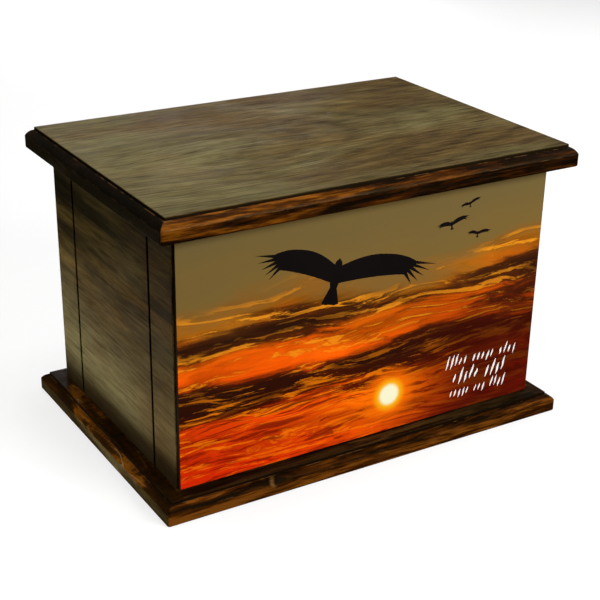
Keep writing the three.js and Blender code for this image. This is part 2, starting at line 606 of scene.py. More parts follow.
# The base's top faces are near black: painted shade on the ledge under the picture.
UMBER_SHADED_FACE = Stain(rgb(0.003, 0.0015, 0.0005), rgb(0.006, 0.0034, 0.0009), rgb(0.028, 0.015, 0.004))
RUSSET_SHADED_FACE = Stain(rgb(0.004, 0.002, 0.0005), rgb(0.012, 0.006, 0.0014), rgb(0.06, 0.03, 0.007))
OLIVE_WALL = Stain(rgb(0.052, 0.042, 0.015), rgb(0.125, 0.108, 0.05), rgb(0.195, 0.18, 0.095))
BROWN_WALL = Stain(rgb(0.034, 0.021, 0.007), rgb(0.086, 0.06, 0.023), rgb(0.14, 0.105, 0.046))
AMBER_EDGE = Stain(rgb(0.004, 0.0014, 0.0004), rgb(0.044, 0.011, 0.0005), rgb(0.19, 0.058, 0.003))
RUSSET_EDGE = Stain(rgb(0.004, 0.0018, 0.0004), rgb(0.046, 0.0118, 0.0006), rgb(0.17, 0.052, 0.005))
EMBER_END = Stain(rgb(0.008, 0.0035, 0.0006), rgb(0.03, 0.01, 0.0009), rgb(0.17, 0.056, 0.004))
DARK_END = Stain(rgb(0.003, 0.0018, 0.0008), rgb(0.008, 0.0045, 0.0018), rgb(0.02, 0.01, 0.004))
# Lighter olive on the fascias of the short ends: painted sheen.
OLIVE_SHEEN_END = Stain(rgb(0.026, 0.018, 0.007), rgb(0.075, 0.056, 0.022), rgb(0.14, 0.112, 0.052))

# Other colours of the wood, painted shade and painted glints among them, and how smoky bands lighten or
# darken it
# Near black, painted as shade down the grooves.
GROOVE_SHADE_BLACK = rgb(0.003, 0.0025, 0.002)
# Dark brown of knot eyes and pores, also laid as painted shade on inner corners and the walls' feet.
KNOT_PORE_AND_SHADE_BROWN = rgb(0.006, 0.0035, 0.0015)
# Pale wood of the knot's crescent and of worn arrises; on arrises it is also painted glints.
PALE_WOOD_AND_GLINT = rgb(0.22, 0.1, 0.03)
SCRATCHED_WOOD = rgb(0.3, 0.2, 0.1)
AMBER_SHEEN = rgb(1.0, 0.62, 0.24)
# The smoky bands lighten the walls' upper part on the whole: painted light that makes up for the shade under
# the lid.
SMOKE_AND_PAINTED_LIGHT = ((0.0, rgb(2.2, 1.78, 0.98)), (0.45, rgb(1.5, 1.22, 0.78)), (1.0, rgb(0.4, 0.36, 0.24)))

# Knots
NO_KNOT = Knot(place=(0.0, 0.0, -1.0), reach=(0.01, 0.01, 0.01), bend=0.0, shade=0.0)
FRONT_KNOT = Knot(place=(-0.0667, -0.095, 0.0085), reach=(0.0062, 0.008, 0.0042), bend=0.7, shade=0.95)
LID_KNOT = Knot(place=(-0.048, -0.018, 0.176), reach=(0.055, 0.032, 0.05), bend=0.55, shade=0.12)


@dataclass(frozen=True)
class WalnutFinish:
    """Dark walnut stain under a satin lacquer.

    Groove walls, inner corners and wall feet are darkened as painted shade, arrises are rubbed lighter with
    painted glints, and smoky bands above a height are painted lighter on the whole to make up for the shade
    under the lid.
    """

    name: str
    effects: SharedEffects
    grain: Grain
    face: Stain
    warm: Stain
    warm_side: Triple = (0.0, 0.0, 0.0)
    warming: Fade = Fade(0.4, 0.64)
    smoky: Fade | None = None
    figure: Figure = CALM
    knot: Knot = NO_KNOT
    pith: Triple = (0.05, 0.0, 0.13)
    ring_width: float = 6 * MM
    wave: float = 14 * MM
    smooth: float = 0.32
    rough: float = 0.46
    crease_roughness: float = 0.4
    wear: float = 0.24
    rubbed_shade: float = 0.6
    pore_shade: float = 0.5
    bump: float = 0.3
    bump_height: float = 0.4 * MM
    specular: float = 0.32
    sheen: Colour = AMBER_SHEEN

    BLOTCH = Pattern((8.0, 20.0, 20.0), detail=3.0)
    SMOKY_BANDS = Pattern((6.0, 50.0, 50.0), detail=4.0, roughness=0.6, distortion=0.3, low=0.38, high=0.62)

    def material(self) -> bpy.types.Material:
        """Builds the finish.

        Returns:
            The material.
        """
        material, tree, shader = new_material(self.name)
        place = tree.add("ShaderNodeTexCoord").outputs["Object"]
        turn = (0.0, 0.0, -self.grain.value)
        turned = tree.add("ShaderNodeMapping", {"Vector": place, "Rotation": turn}).outputs[0]
        arris, crease, kerf = (tree.mark(mark) for mark in (Mark.ARRIS, Mark.CREASE, Mark.KERF))
        knot = self.knot
        bent = {"Vector": turned, "Knot": knot.place, "Reach": knot.reach, "Bend": knot.bend}
        swirl = tree.use(self.effects.knot, bent)
        at = {"Vector": swirl["Vector"]}
        grown = {"Wave": self.wave, "Ring Width": self.ring_width, "Pith": self.pith}
        wood = tree.use(self.effects.grain, at | grown)
        filled = {"Pores": wood["Pores"], "Fibres": wood["fibres"]}
        brushed = {"Smooth": self.smooth, "Rough": self.rough}
        film = tree.use(self.effects.lacquer, at | filled | brushed)
        worn_and_glinting = tree.use(self.effects.wear, at | {"Arris": arris, "Amount": self.wear})

        colour = self._stained(tree, wood, swirl["Vector"])
        layers = (
            (PALE_WOOD_AND_GLINT, swirl["Crescent"], wood["fibres"], knot.shade),
            (KNOT_PORE_AND_SHADE_BROWN, swirl["Eye"], knot.shade),
            (KNOT_PORE_AND_SHADE_BROWN, wood["Pores"], self.pore_shade),
            # Arrises rubbed lighter: wear, and painted glints where the edges catch the light.
            (PALE_WOOD_AND_GLINT, worn_and_glinting["Wear And Glints"], self.rubbed_shade),
            # Painted shade on inner corners and the walls' feet, and near-black painted shade down the
            # grooves.
            (KNOT_PORE_AND_SHADE_BROWN, crease),
            (GROOVE_SHADE_BLACK, kerf),
        )
        for tone, *shares in layers:
            colour = tree.lay(colour, tone, *shares)
        dull = tree.math("MAXIMUM", kerf, crease)
        relief = {"Strength": self.bump, "Distance": self.bump_height, "Height": film["Height"]}
        tree.feed(shader, {
            "Base Color": colour,
            "Roughness": tree.math("MULTIPLY_ADD", dull, self.crease_roughness, film["Roughness"]),
            "Normal": tree.add("ShaderNodeBump", relief).outputs[0],
            "Specular IOR Level": self.specular,
            "Specular Tint": self.sheen,
        })
        return material

    def _stained(self, tree: Tree, wood: Outputs, vector: Socket) -> Socket:
        """Stains the wood of the faces, with the smoky bands and the light painted into them, before pores,
        wear, painted glints and painted shade.

        Args:
            tree: The material's tree.
            wood: The parts of the grain.
            vector: The place, turned along the grain and bent round the knot.

        Returns:
            The socket of the colour.
        """
        share = self.figure.share(tree, wood)
        along, across, up = tree.split(vector)
        folded = tree.combine(along, tree.math("ABSOLUTE", across), up)
        lean = tree.measure("DOT_PRODUCT", folded, self.warm_side)
        turned = tree.math("ADD", tree.noise(vector, self.BLOTCH)[0], lean)
        face, warm = (tree.ramp(share, stain.stops()) for stain in (self.face, self.warm))
        stained = tree.lay(face, warm, tree.fade(turned, self.warming))
        if self.smoky is None:
            return stained
        # Smoky bands above a height, painted lighter on the whole to make up for the shade under the lid.
        smoke_and_light_tone = tree.ramp(tree.pattern(vector, self.SMOKY_BANDS), SMOKE_AND_PAINTED_LIGHT)
        return tree.mix(tree.fade(up, self.smoky), stained, smoke_and_light_tone, "MULTIPLY")


@dataclass(frozen=True)
class MouldedWalnutFinish(WalnutFinish):
    """Walnut whose moulded edges took the stain in another way, with end grain on the short ones."""

    edge: Stain = AMBER_EDGE
    end_round: Stain = DARK_END
    end_fascia: Stain = OLIVE_SHEEN_END
    darkening: Fade = Fade(-0.1, 0.08, 0.0)
    fascia_lift: float = 0.0
    round_drop: float = 0.0
    scratches: float = 0.0
    end_from: float = 1.0

    MOTTLE = Pattern((85.0, 17.0, 85.0), detail=6.0, roughness=0.58, distortion=0.8, low=0.42, high=0.76)
    HAIRS = Pattern((190.0, 14.0, 190.0), detail=1.0, distortion=0.4)
    HAIR = Fade(0.016, 0.004)
    SCRATCHED = Fade(0.54, 0.6)
    END_FIBRES = 0.25
    END_SOFTNESS = 1 * MM
    FACING_END = Fade(-0.02, 0.02)
    FACING_UP = Fade(0.9, 0.98)

    def _stained(self, tree: Tree, wood: Outputs, vector: Socket) -> Socket:
        """Stains the wood of the faces and of the moulded edges.

        Args:
            tree: The material's tree.
            wood: The parts of the grain.
            vector: The place, turned along the grain and bent round the knot.

        Returns:
            The socket of the colour.
        """
        face = super()._stained(tree, wood, vector)
        fascia = tree.mark(Mark.FASCIA)
        along, _, _ = tree.split(vector)
        lift = tree.math("MULTIPLY_ADD", fascia, self.fascia_lift, self.round_drop)
        drawn = tree.math("ADD", WILD.share(tree, wood), lift)
        darkened = tree.math("SUBTRACT", drawn, tree.fade(along, self.darkening))
        edge = tree.ramp(darkened, self.edge.stops())

        mottle = tree.noise(vector, self.MOTTLE)[0]
        spread = tree.remap(mottle, self.MOTTLE.low, self.MOTTLE.high, 0.0, 1.0)
        end_share = tree.math("MULTIPLY_ADD", wood["fibres"], self.END_FIBRES, spread)
        stains = (self.end_round, self.end_fascia)
        end_round, end_fascia = (tree.ramp(end_share, stain.stops()) for stain in stains)
        hairs = tree.math("SUBTRACT", tree.noise(vector, self.HAIRS)[0], 0.5)
        hair = tree.fade(tree.math("ABSOLUTE", hairs), self.HAIR)
        scratched = tree.fade(mottle, self.SCRATCHED)
        end_round = tree.lay(end_round, SCRATCHED_WOOD, hair, scratched, self.scratches)
        # The fascias of the short ends are painted lighter olive, as sheen.
        end = tree.lay(end_round, end_fascia, fascia)

        out_x, out_y, out_z = tree.split(tree.add("ShaderNodeNewGeometry").outputs["Normal"])
        lean = tree.math("SUBTRACT", tree.math("ABSOLUTE", out_x), tree.math("ABSOLUTE", out_y))
        beyond = Fade(self.end_from, self.end_from + self.END_SOFTNESS)
        outside = tree.fade(tree.math("ABSOLUTE", along), beyond)
        past_end = tree.product(outside, tree.fade(out_z, self.FACING_UP))
        end_on = tree.math("MAXIMUM", tree.fade(lean, self.FACING_END), past_end)
        moulded = tree.math("MAXIMUM", tree.mark(Mark.MOULDED), past_end)
        return tree.lay(face, tree.lay(edge, end, end_on), moulded)


@dataclass(frozen=True)
class SunsetPrint:
    """Printed sunset: bare sky above, lit cloud bands below, and a low sun.

    Places on it are in picture heights, across from its left edge and up from its lower edge.
    """

    name: str
    left: float
    bottom: float
    height: float

    # Sun
    sun: tuple[float, float] = (0.92, 0.16)
    sun_radius: float = 0.045
    sun_rings: tuple[tuple[Fade, Colour], ...] = (
        (Fade(3.2, 1.2, 0.85), rgb(1.0, 0.16, 0.001)),
        (Fade(1.9, 0.9), rgb(1.0, 0.52, 0.008)),
        (Fade(1.2, 0.75), rgb(1.0, 0.97, 0.66)),
    )
    glow: Colour = rgb(1.0, 0.2, 0.001)
    glow_squash: Triple = (0.6, 1.3, 0.0)
    glow_reach: float = 0.2
    glow_fall: float = -1.4

    # Sky, from the picture's foot up
    sky: Stops = (
        (0.0, rgb(0.62, 0.016, 0.0005)),
        (0.16, rgb(0.7, 0.03, 0.0005)),
        (0.3, rgb(0.7, 0.045, 0.0005)),
        (0.43, rgb(0.84, 0.095, 0.001)),
        (0.54, rgb(0.56, 0.09, 0.001)),
        (0.63, rgb(0.32, 0.105, 0.006)),
        (0.73, rgb(0.2, 0.125, 0.032)),
        (1.0, rgb(0.168, 0.118, 0.04)),
    )
    dusk: Colour = rgb(0.045, 0.003, 0.001)
    dusk_across: Fade = Fade(0.8, 1.35)
    dusk_up: Fade = Fade(0.64, 0.28, 0.9)

    # Clouds
    cloud_weight: Stops = (
        (0.0, grey(0.57)),
        (0.2, grey(0.57)),
        (0.34, grey(0.73)),
        (0.44, grey(0.57)),
        (0.56, grey(0.67)),
        (0.68, grey(0.54)),
    )
    cloud_shade: Stops = (
        (0.05, rgb(0.2, 0.004, 0.0005)),
        (0.28, rgb(0.035, 0.004, 0.001)),
        (0.6, rgb(0.05, 0.013, 0.003)),
    )
    cloud_light: Stops = (
        (0.05, rgb(1.0, 0.16, 0.002)),
        (0.3, rgb(1.0, 0.24, 0.002)),
        (0.62, rgb(1.0, 0.35, 0.015)),
    )
    cloud_heart: Colour = rgb(0.012, 0.004, 0.002)
    bank_share: float = 0.4
    billow_share: float = 0.36
    swell: float = 0.09
    drift: Triple = (0.6, 0.12, 0.0)
    light_from: Triple = (0.0, -0.016, 0.0)
    covered: Fade = Fade(0.72, 0.62)
    low_down: Fade = Fade(0.44, 0.26)
    body: Fade = Fade(0.965, 1.025, 0.95)
    lit: Fade = Fade(0.02, 0.08, 0.8)
    heart: Fade = Fade(1.01, 1.09, 0.8)
    dim: Fade = Fade(0.48, 0.41, 0.75)
    bright: Fade = Fade(0.54, 0.6, 0.7)

    # Inks and surface
    silhouette: Colour = rgb(0.006, 0.004, 0.004)
    white: Colour = rgb(0.95, 0.94, 0.92)
    bare_edge: Colour = rgb(0.012, 0.008, 0.006)
    smooth: float = 0.32
    rough: float = 0.42
    bump: float = 0.03
    bump_height: float = 0.1 * MM
    specular: float = 0.06

    SWELL = Pattern((1.5, 5.0, 1.0), detail=3.0, low=0.2, high=0.8)
    DRIFT = Pattern((1.8, 7.0, 1.0), detail=3.0)
    BANKS = Pattern((0.8, 5.0, 1.0), detail=6.0, roughness=0.55)
    BILLOWS = Pattern((1.2, 9.0, 1.0), detail=8.0, roughness=0.66)
    STRANDS = Pattern((4.0, 46.0, 1.0), detail=6.0, roughness=0.65)
    SMEAR = Pattern((30.0, 30.0, 30.0), detail=3.0)
    TOOTH = Pattern((900.0, 900.0, 900.0))
    THIN_BILLOW = 0.34
    THICK_BILLOW = 0.66
    THIN_BRIGHTNESS = 1.35
    THICK_BRIGHTNESS = 0.45

    def material(self) -> bpy.types.Material:
        """Builds the print.

        Returns:
            The material.
        """
        material, tree, shader = new_material(self.name)
        place = tree.add("ShaderNodeTexCoord").outputs["Object"]
        across, _, up = tree.split(place)
        u = tree.math("DIVIDE", tree.math("SUBTRACT", across, self.left), self.height)
        v = tree.math("DIVIDE", tree.math("SUBTRACT", up, self.bottom), self.height)
        colour = self._sun_lit(tree, self._clouded(tree, u, v), u, v)
        inks = {Ink.SILHOUETTE: self.silhouette, Ink.WHITE: self.white, Ink.EDGE: self.bare_edge}
        for ink, tone in inks.items():
            colour = tree.lay(colour, tone, tree.mark(ink))
        tooth = tree.noise(place, self.TOOTH)[0]
        relief = {"Strength": self.bump, "Distance": self.bump_height, "Height": tooth}
        tree.feed(shader, {
            "Base Color": colour,
            "Roughness": tree.pattern(place, self.SMEAR, self.smooth, self.rough),
            "Normal": tree.add("ShaderNodeBump", relief).outputs[0],
            "Specular IOR Level": self.specular,
        })
        return material

    def _clouded(self, tree: Tree, u: Socket, v: Socket) -> Socket:
        """Paints the sky and its clouds.

        Args:
            tree: The material's tree.
            u: Place across the picture.
            v: Place up the picture.

        Returns:
            The socket of the colour.
        """
        flat = tree.combine(u, v, 0.0)
        lifted = tree.math("ADD", v, tree.pattern(flat, self.SWELL, -self.swell, self.swell))
        moved = tree.vector("ADD", flat, tree.vector("MULTIPLY", tree.drift(flat, self.DRIFT), self.drift))
        lower = tree.vector("ADD", moved, self.light_from)
        billows, below = (tree.noise(spot, self.BILLOWS)[0] for spot in (moved, lower))
        banks = tree.noise(moved, self.BANKS)[0]
        strands = tree.noise(moved, self.STRANDS)[0]
        drawn = tree.math("MULTIPLY_ADD", banks, self.bank_share, tree.product(billows, self.billow_share))
        thick = tree.math("ADD", drawn, tree.ramp(v, self.cloud_weight))
        cover = tree.fade(lifted, self.covered)
        low = tree.fade(v, self.low_down)
        shade, light = (tree.ramp(v, stops) for stops in (self.cloud_shade, self.cloud_light))

        mottle = tree.remap(billows, self.THIN_BILLOW, self.THICK_BILLOW, self.THIN_BRIGHTNESS,
                            self.THICK_BRIGHTNESS)
        sky = self._glowing(tree, tree.ramp(lifted, self.sky), flat)
        colour = tree.mix(cover, sky, tree.combine(mottle, mottle, mottle), "MULTIPLY")
        layers = (
            (shade, thick, self.body, cover),
            (light, tree.math("SUBTRACT", billows, below), self.lit, cover),
            (self.cloud_heart, thick, self.heart, cover),
            (shade, strands, self.dim, low),
            (light, strands, self.bright, low),
        )
        for tone, value, fade, where in layers:
            colour = tree.lay(colour, tone, tree.fade(value, fade), where)
        return colour

    def _from_sun(self, tree: Tree, flat: Socket) -> Socket:
        """Returns the way from the sun to a place on the picture."""
        return tree.vector("SUBTRACT", flat, (*self.sun, 0.0))

    def _glowing(self, tree: Tree, sky: Socket, flat: Socket) -> Socket:
        """Lays the sun's wide, low glow on the bare sky.

        Args:
            tree: The material's tree.
            sky: The bare sky's colour.
            flat: The place on the picture.

        Returns:
            The socket of the colour.
        """
        squashed = tree.vector("MULTIPLY", self._from_sun(tree, flat), self.glow_squash)
        near = tree.math("DIVIDE", tree.measure("LENGTH", squashed), self.glow_reach)
        return tree.lay(sky, self.glow, tree.math("EXPONENT", tree.math("MULTIPLY", near, self.glow_fall)))

    def _sun_lit(self, tree: Tree, colour: Socket, u: Socket, v: Socket) -> Socket:
        """Adds the dusk at the right-hand side, and the sun with the rings of light round it.

        Args:
            tree: The material's tree.
            colour: The painted sky.
            u: Place across the picture.
            v: Place up the picture.

        Returns:
            The socket of the colour.
        """
        colour = tree.lay(colour, self.dusk, tree.fade(u, self.dusk_across), tree.fade(v, self.dusk_up))
        distance = tree.measure("LENGTH", self._from_sun(tree, tree.combine(u, v, 0.0)))
        radii = tree.math("DIVIDE", distance, self.sun_radius)
        for fade, tone in self.sun_rings:
            colour = tree.lay(colour, tone, tree.fade(radii, fade))
        return colour


class SectionPoint(NamedTuple):
    """One point of a moulded board's section.

    The insets run from the board's sides and from its front and back, the height from its underside.
    """

    side: float
    end: float
    height: float
    shift: float = 0.0
    moulded: float = 0.0
    fascia: float = 0.0
    crease: float = 0.0
    arris: float = 0.0


@dataclass(frozen=True)
class Moulding:
    """Sizes of the edge that the base and the lid share, from the underside up, and the marks for its
    finish: edge stain, wear with painted glints, and painted shade.
    """

    underside_ease: float = 1 * MM
    fascia_height: float = 7.5 * MM
    round_bulge: float = 0.7 * MM
    step_inset: float = 4.75 * MM
    step_height: float = 1.75 * MM
    arris_ease: float = 0.4 * MM
    corner_radius: float = 1.5 * MM
    inner_corner_radius: float = 0.35 * MM
    support: float = 0.35 * MM
    round_steps: int = 14
    ease_steps: int = 5
    fascia_arris: float = 0.5
    step_crease: float = 0.9
    step_moulded: float = 0.4

    def section(self, thickness: float) -> Iterator[SectionPoint]:
        """Draws the section from the rim of the underside, round the edge, to the rim of the top face.

        Args:
            thickness: The board's thickness.

        Returns:
            The points, one by one.
        """
        ease = self.underside_ease
        shares = [step / self.ease_steps for step in range(self.ease_steps + 1)]
        yield SectionPoint(ease + self.support, ease + self.support, 0.0)
        for share in shares:
            angle = QUARTER_TURN * share
            inset = ease * (1 - math.sin(angle))
            yield SectionPoint(inset, inset, ease * (1 - math.cos(angle)), moulded=1.0, fascia=1.0)
        for height in (ease + self.support, self.fascia_height - self.support):
            yield SectionPoint(0.0, 0.0, height, moulded=1.0, fascia=1.0)
        yield from self._round(thickness)

        inset = self.step_inset
        foot = thickness - self.step_height
        # The step's riser is marked for painted shade, which fades up its arris.
        yield SectionPoint(inset, inset, foot + self.support, moulded=1.0, crease=1.0)
        for share in shares:
            angle = QUARTER_TURN * share
            rounded = inset + self.arris_ease * (1 - math.cos(angle))
            height = thickness - self.arris_ease * (1 - math.sin(angle))
            yield SectionPoint(rounded, rounded, height, moulded=self.step_moulded * (1 - share),
                               crease=self.step_crease * (1 - share))
        rim = inset + self.arris_ease + self.support
        yield SectionPoint(rim, rim, thickness)

    def _round(self, thickness: float) -> Iterator[SectionPoint]:
        """Draws the round from the top of the fascia to the foot of the step, as an arc of a circle.

        Args:
            thickness: The board's thickness.

        Returns:
            The points, one by one.
        """
        start = Vector((0.0, self.fascia_height))
        stop = Vector((self.step_inset, thickness - self.step_height))
        chord = stop - start
        radius = (chord.length_squared / 4 + self.round_bulge ** 2) / (2 * self.round_bulge)
        inward = Vector((chord.y, -chord.x)).normalized()
        centre = (start + stop) / 2 + inward * (radius - self.round_bulge)
        first, last = (math.atan2(end.y - centre.y, end.x - centre.x) for end in (start, stop))
        for step in range(self.round_steps + 1):
            angle = first + (last - first) * step / self.round_steps
            inset = max(0.0, centre.x + radius * math.cos(angle))
            height = centre.y + radius * math.sin(angle)
            # The fascia's top edge and the top of the round get wear with painted glints, the step's foot
            # painted shade.
            arris = self.fascia_arris if step == 0 else float(step == self.round_steps - 1)
            crease = float(step == self.round_steps)
            yield SectionPoint(inset, inset, height, moulded=1.0, arris=arris, crease=crease)


class MouldingSweep:
    """Geometry node tree that carries a section round a rectangle, with mitred and just rounded corners."""

    SIZES = (
        *SocketKind.FLOAT.each("Width", "Depth", "Corner Radius", "Inner Radius"),
        *SocketKind.FLOAT.each("Step Inset", "Unevenness"),
        *SocketKind.INT.each("Corner Steps", "Side Steps"),
        *SocketKind.MATERIAL.each("Material"),
    )
    CARRIED = (Mark.MOULDED, Mark.FASCIA, Mark.CREASE, Mark.ARRIS)
    SHIFT = "shift"
    CORNERS = 4
    MERGE_DISTANCE = 1e-6
    SANDING = Pattern((40.0, 40.0, 130.0))

    def __init__(self) -> None:
        """Builds the tree."""
        self.corner = self._ring_corner()
        self.tree = self._sweep()

    def identifiers(self) -> dict[str, str]:
        """Returns the identifier of each of the tree's inputs by its name."""
        sockets = self.tree.interface.items_tree
        return {socket.name: socket.identifier for socket in sockets if socket.in_out == "INPUT"}

    @staticmethod
    def _ring_corner() -> bpy.types.NodeTree:
        """Builds the place of a point on one rounded corner of a rectangle.

        Returns:
            The node group.
        """
        values = SocketKind.FLOAT.each("Turn", "Half Width", "Half Depth", "Radius")
        inputs = SocketKind.INT.each("Corner") + values
        outputs = SocketKind.VECTOR.each("Place")
        tree, given, made = new_group("ring_corner", "GeometryNodeTree", inputs, outputs)
        middle = tree.product(tree.math("ADD", given["Corner"], 0.5), QUARTER_TURN)
        angle = tree.product(tree.math("ADD", given["Corner"], given["Turn"]), QUARTER_TURN)
        parts = []
        for wave, half in (("COSINE", "Half Width"), ("SINE", "Half Depth")):
            sign = tree.math("SIGN", tree.math(wave, middle))
            centre = tree.product(sign, tree.math("SUBTRACT", given[half], given["Radius"]))
            parts.append(tree.math("MULTIPLY_ADD", given["Radius"], tree.math(wave, angle), centre))
        tree.feed(made, {"Place": tree.combine(*parts, 0.0)})
        return tree.tree

    def _sweep(self) -> bpy.types.NodeTree:
        """Builds the sweep of a section, given as a chain of points, into a closed board.

        Returns:
            The node tree.
        """
        outputs = SocketKind.GEOMETRY.each("Geometry")
        tree, given, made = new_group("moulding_sweep", "GeometryNodeTree", [*outputs, *self.SIZES], outputs)
        section = given["Geometry"]
        rows = tree.add("GeometryNodeAttributeDomainSize", {0: section}).outputs["Point Count"]
        per_corner = tree.whole("ADD", given["Corner Steps"], given["Side Steps"])
        columns = tree.whole("ADD", tree.whole("MULTIPLY", per_corner, self.CORNERS), 1)
        grid = tree.add("GeometryNodeMeshGrid", {"Vertices X": columns, "Vertices Y": rows}).outputs[0]
        index = tree.add("GeometryNodeInputIndex").outputs[0]
        column = tree.whole("DIVIDE_FLOOR", index, rows)
        row = tree.whole("MODULO", index, rows)

        def of_section(kind: str, value: Socket) -> Socket:
            """Returns a field of the section at the grid's row."""
            inputs = {"Geometry": section, "Value": value, "Index": row}
            return tree.add("GeometryNodeSampleIndex", inputs, data_type=kind).outputs[0]

        def named(name: str) -> Socket:
            """Returns a named attribute of the section at the grid's row."""
            attribute = tree.add("GeometryNodeInputNamedAttribute", {"Name": name}).outputs[0]
            return of_section("FLOAT", attribute)

        position = tree.add("GeometryNodeInputPosition").outputs[0]
        side, end, height = tree.split(of_section("FLOAT_VECTOR", position))
        flat = self._ring(tree, given, column, per_corner, (side, end))
        place = tree.vector("ADD", flat, tree.combine(0.0, named(self.SHIFT), height))
        shape = tree.add("GeometryNodeSetPosition", {0: grid, "Position": place}).outputs[0]
        for mark in self.CARRIED:
            store = {0: shape, "Name": mark.value, "Value": named(mark.value)}
            shape = tree.add("GeometryNodeStoreNamedAttribute", store).outputs[0]
        merge = {0: shape, "Distance": self.MERGE_DISTANCE}
        shape = tree.add("GeometryNodeMergeByDistance", merge).outputs[0]
        shape = self._hand_sanded(tree, shape, given["Unevenness"])
        shape = tree.add("GeometryNodeSetShadeSmooth", {0: shape}).outputs[0]
        shape = tree.add("GeometryNodeRealizeInstances", {0: shape}).outputs[0]
        dressed = tree.add("GeometryNodeSetMaterial", {0: shape, "Material": given["Material"]}).outputs[0]
        tree.feed(made, {"Geometry": dressed})
        return tree.tree

    def _ring(self, tree: Tree, given: Outputs, column: Socket, per_corner: Socket,
              insets: tuple[Socket, Socket]) -> Socket:
        """Places a column of the grid on a rounded rectangle.

        Args:
            tree: The tree to add to.
            given: The tree's inputs.
            column: The grid's column.
            per_corner: Columns from one corner to the next.
            insets: How far in the rectangle lies from the board's sides and from its front and back.

        Returns:
            The place in plan.
        """
        half_width, half_depth = (
            tree.math("MULTIPLY_ADD", given[span], 0.5, tree.product(inset, -1.0))
            for span, inset in zip(("Width", "Depth"), insets)
        )
        radii = {"Value": insets[0], "From Max": given["Step Inset"],
                 "To Min": given["Corner Radius"], "To Max": given["Inner Radius"]}
        radius = tree.add("ShaderNodeMapRange", radii).outputs[0]
        radius = tree.math("MINIMUM", radius, tree.math("MINIMUM", half_width, half_depth))
        halves = {"Half Width": half_width, "Half Depth": half_depth, "Radius": radius}

        corner = tree.whole("DIVIDE_FLOOR", column, per_corner)
        step = tree.whole("MODULO", column, per_corner)
        turn = tree.math("MINIMUM", tree.math("DIVIDE", step, given["Corner Steps"]), 1.0)
        past = tree.math("MAXIMUM", tree.math("SUBTRACT", step, given["Corner Steps"]), 0.0)
        along = tree.product(tree.math("DIVIDE", past, given["Side Steps"]), math.pi)
        share = tree.math("MULTIPLY_ADD", tree.math("COSINE", along), -0.5, 0.5)
        here = {"Corner": corner, "Turn": turn}
        following = {"Corner": tree.whole("ADD", corner, 1), "Turn": 0.0}
        start, stop = (tree.add("GeometryNodeGroup", inputs | halves, node_tree=self.corner).outputs[0]
                       for inputs in (here, following))
        return tree.add("ShaderNodeMix", {0: share, 4: start, 5: stop}, data_type="VECTOR").outputs[1]

    def _hand_sanded(self, tree: Tree, shape: Socket, unevenness: Socket) -> Socket:
        """Sands the moulded edge a little unevenly.

        Args:
            tree: The tree to add to.
            shape: The board.
            unevenness: How far the sanding reaches from its highest place to its lowest.

        Returns:
            The sanded board.
        """
        position = tree.add("GeometryNodeInputPosition").outputs[0]
        waves = tree.math("SUBTRACT", tree.noise(position, self.SANDING)[0], 0.5)
        moulded = tree.add("GeometryNodeInputNamedAttribute", {"Name": Mark.MOULDED.value}).outputs[0]
        normal = tree.add("GeometryNodeInputNormal").outputs[0]
        scaled = {0: normal, "Scale": tree.product(waves, moulded, unevenness)}
        offset = tree.add("ShaderNodeVectorMath", scaled, operation="SCALE").outputs[0]
        return tree.add("GeometryNodeSetPosition", {0: shape, "Offset": offset}).outputs[0]


@dataclass(frozen=True)
class LocatingField:
    """Raised field under the lid that drops in between the walls."""

    width: float
    depth: float
    shift: float
    height: float


